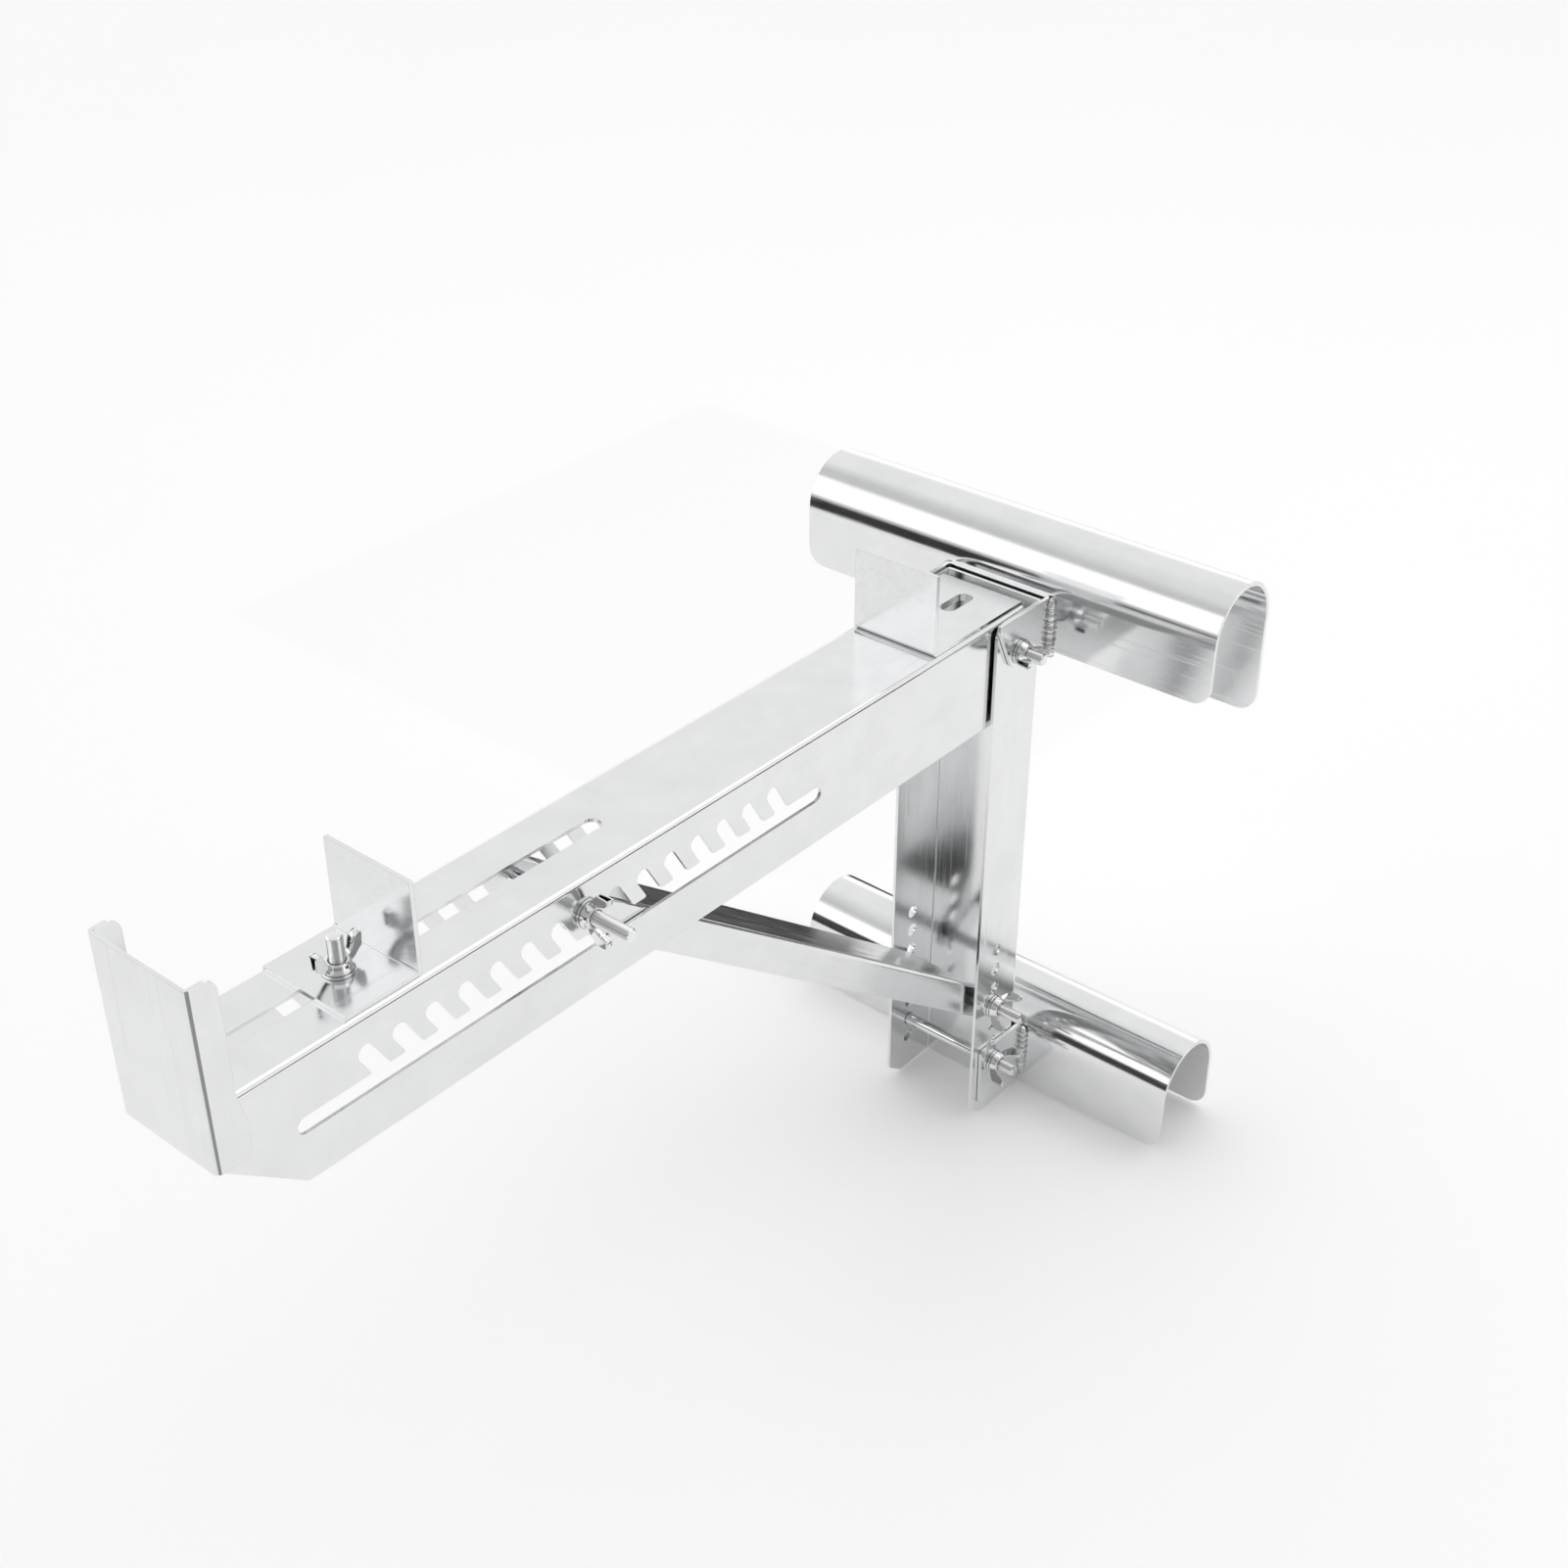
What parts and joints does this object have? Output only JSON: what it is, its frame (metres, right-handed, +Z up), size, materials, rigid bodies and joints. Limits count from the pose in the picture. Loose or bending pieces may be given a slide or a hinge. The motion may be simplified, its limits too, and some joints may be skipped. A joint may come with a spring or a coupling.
{
  "type": "ladder plank bracket",
  "caption": "Folding sheet-steel bracket whose two half-round hooks hang on ladder rungs; its strutted, notched arm carries a plank between end stops and a sliding clamp.",
  "frame": {"origin": "on the upper rung's axis, midway along the upper hook", "axes": "+X along the ladder rungs, -Y out along the arm, away from the ladder, +Z up"},
  "size_m": [0.299, 0.68, 0.4408],
  "materials": {
    "galvanised_sheet": "bright zinc plated, fine handling scratches",
    "hook_sheet": "bright zinc plated, fine handling scratches",
    "weld_metal": "rippled weld bead, zinc plated",
    "fastener_zinc": "zinc plated steel"
  },
  "bodies": {
    "post": {"post_channel": "galvanised_sheet", "strut_post_bolt": "fastener_zinc", "strut_post_washers": "fastener_zinc", "lower_hook_bolt": "fastener_zinc", "lower_hook_washers": "fastener_zinc"},
    "upper_hook": {"upper_rung_hook": "hook_sheet", "upper_bracket": "galvanised_sheet", "upper_weld_left": "weld_metal", "upper_weld_right": "weld_metal", "pivot_bolt": "fastener_zinc", "pivot_washers": "fastener_zinc"},
    "arm": {"arm_channel": "galvanised_sheet", "front_stop": "galvanised_sheet", "rear_stop": "galvanised_sheet"},
    "strut": {"strut_channel": "galvanised_sheet", "strut_arm_bolt": "fastener_zinc", "strut_arm_washers": "fastener_zinc"},
    "clamp": {"plank_clamp": "galvanised_sheet", "clamp_bolt": "fastener_zinc", "clamp_washer": "fastener_zinc"},
    "lower_hook": {"lower_rung_hook": "hook_sheet", "lower_bracket": "galvanised_sheet", "lower_weld_left": "weld_metal", "lower_weld_right": "weld_metal"},
    "pivot_nut": {"pivot_wing_nut": "fastener_zinc"},
    "strut_arm_nut": {"strut_arm_wing_nut": "fastener_zinc"},
    "strut_post_nut": {"strut_post_wing_nut": "fastener_zinc"},
    "lower_hook_nut": {"lower_hook_wing_nut": "fastener_zinc"},
    "clamp_nut": {"clamp_wing_nut": "fastener_zinc"}
  },
  "joints": [
    {"name": "post_pivot", "type": "hinge", "parent": "upper_hook", "child": "post", "pos_m": [0, -0.0609, -0.026], "axis": [1, 0, 0], "range_deg": [-4, 8]},
    {"name": "arm_fold", "type": "hinge", "parent": "post", "child": "arm", "pos_m": [0, -0.0609, -0.026], "axis": [-1, 0, 0], "range_deg": [0, 4]},
    {"name": "strut_fold", "type": "hinge", "parent": "post", "child": "strut", "pos_m": [0, -0.0609, -0.2935], "axis": [-1, 0, 0], "range_deg": [0, 1.8]},
    {"name": "clamp_slide", "type": "slide", "parent": "arm", "child": "clamp", "axis": [0, 1, 0], "range_m": [-0.07, 0.162]},
    {"name": "lower_hook_swing", "type": "hinge", "parent": "post", "child": "lower_hook", "pos_m": [0, -0.0609, -0.3385], "axis": [1, 0, 0], "range_deg": [-7, 10]},
    {"name": "pivot_nut_turn", "type": "hinge", "parent": "upper_hook", "child": "pivot_nut", "pos_m": [0.046, -0.0609, -0.026], "axis": [1, 0, 0], "continuous": true},
    {"name": "strut_arm_nut_turn", "type": "hinge", "parent": "strut", "child": "strut_arm_nut", "pos_m": [0.04, -0.4209, -0.023], "axis": [1, 0, 0], "continuous": true},
    {"name": "strut_post_nut_turn", "type": "hinge", "parent": "post", "child": "strut_post_nut", "pos_m": [0.045, -0.0609, -0.2935], "axis": [1, 0, 0], "continuous": true},
    {"name": "lower_hook_nut_turn", "type": "hinge", "parent": "post", "child": "lower_hook_nut", "pos_m": [0.046, -0.0609, -0.3385], "axis": [1, 0, 0], "continuous": true},
    {"name": "clamp_nut_turn", "type": "hinge", "parent": "clamp", "child": "clamp_nut", "pos_m": [0, -0.5469, 0.004], "axis": [0, 0, 1], "continuous": true}
  ],
  "couplings": [
    {"joint": "strut_fold", "follows": "arm_fold", "ratio": 0.4408}
  ]
}
